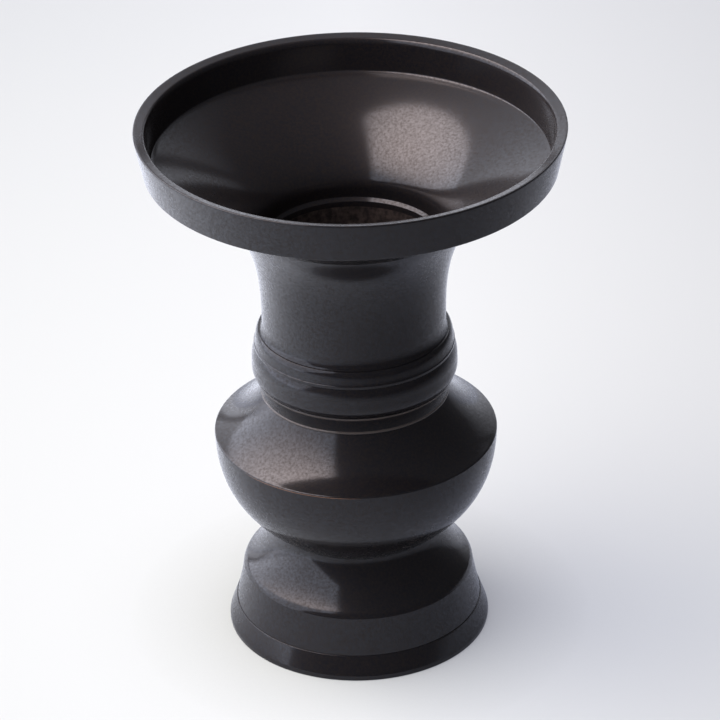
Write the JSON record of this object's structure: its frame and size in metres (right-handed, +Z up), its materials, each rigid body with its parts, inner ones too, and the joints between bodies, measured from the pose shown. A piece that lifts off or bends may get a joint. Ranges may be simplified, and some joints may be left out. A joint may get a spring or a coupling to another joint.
{
  "type": "flower vase",
  "caption": "Footed brass flower vase with a wide flared dish, ringed collar, rounded belly and hollow foot, in dark brown lacquer.",
  "frame": {"origin": "centre of the foot ring's underside, on the surface that the vase stands on", "axes": "+Z up along the vase's axis, from the foot to the dish"},
  "size_m": [0.1136, 0.1136, 0.15],
  "materials": {
    "dark_lacquer": "dark brown stain under clear satin lacquer",
    "bare_brass": "turned, dull with age"
  },
  "bodies": {
    "root": {"foot_ring": "dark_lacquer", "foot": "dark_lacquer", "foot_washer": "bare_brass", "foot_nut": "bare_brass", "belly": "dark_lacquer", "shoulder": "dark_lacquer", "collar_band": "dark_lacquer", "collar_ring": "dark_lacquer", "neck": "dark_lacquer", "dish": "dark_lacquer"}
  },
  "joints": []
}
